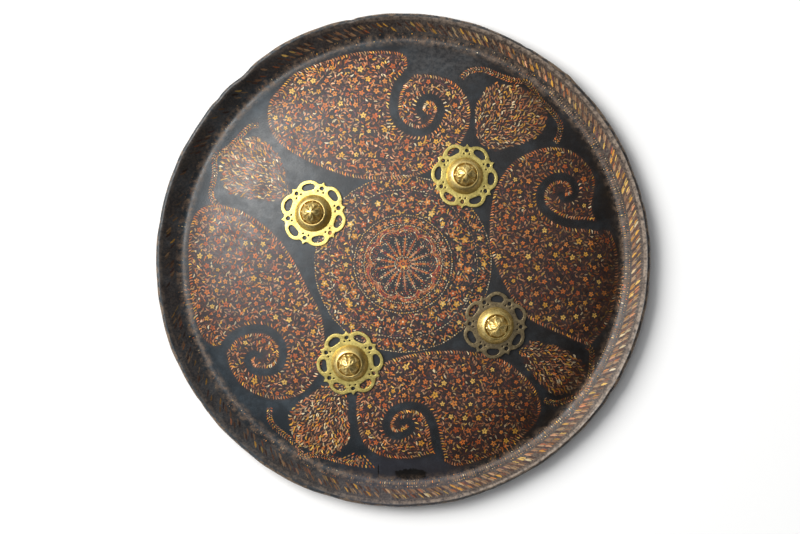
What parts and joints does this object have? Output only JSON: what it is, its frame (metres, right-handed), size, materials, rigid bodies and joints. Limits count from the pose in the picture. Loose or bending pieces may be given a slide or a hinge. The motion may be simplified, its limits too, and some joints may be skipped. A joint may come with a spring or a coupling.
{
  "type": "hide shield",
  "caption": "Round dhal shield of moulded, lacquered and flower-painted hide with an upturned rim and pierced brass bosses riveted through it.",
  "frame": {"origin": "middle of the ring under the trough that the shield rests on", "axes": "+Z out of the shield's face, +Y to the top of the face as it is seen, +X to its right"},
  "size_m": [0.5, 0.5, 0.0631],
  "materials": {
    "lacquered_hide": "near-black lacquer painted all over with small flowers and leaves, semi-gloss and worn",
    "plate_brass": "pale filed brass, dulled, dirt in the openings",
    "dome_brass": "turned and chiselled golden brass, rubbed bright on the high places"
  },
  "bodies": {
    "root": {"shield_body": "lacquered_hide", "boss_flange_1": "plate_brass", "boss_dome_1": "dome_brass", "boss_flange_2": "plate_brass", "boss_dome_2": "dome_brass", "boss_flange_3": "plate_brass", "boss_dome_3": "dome_brass", "boss_flange_4": "plate_brass", "boss_dome_4": "dome_brass"}
  },
  "joints": []
}
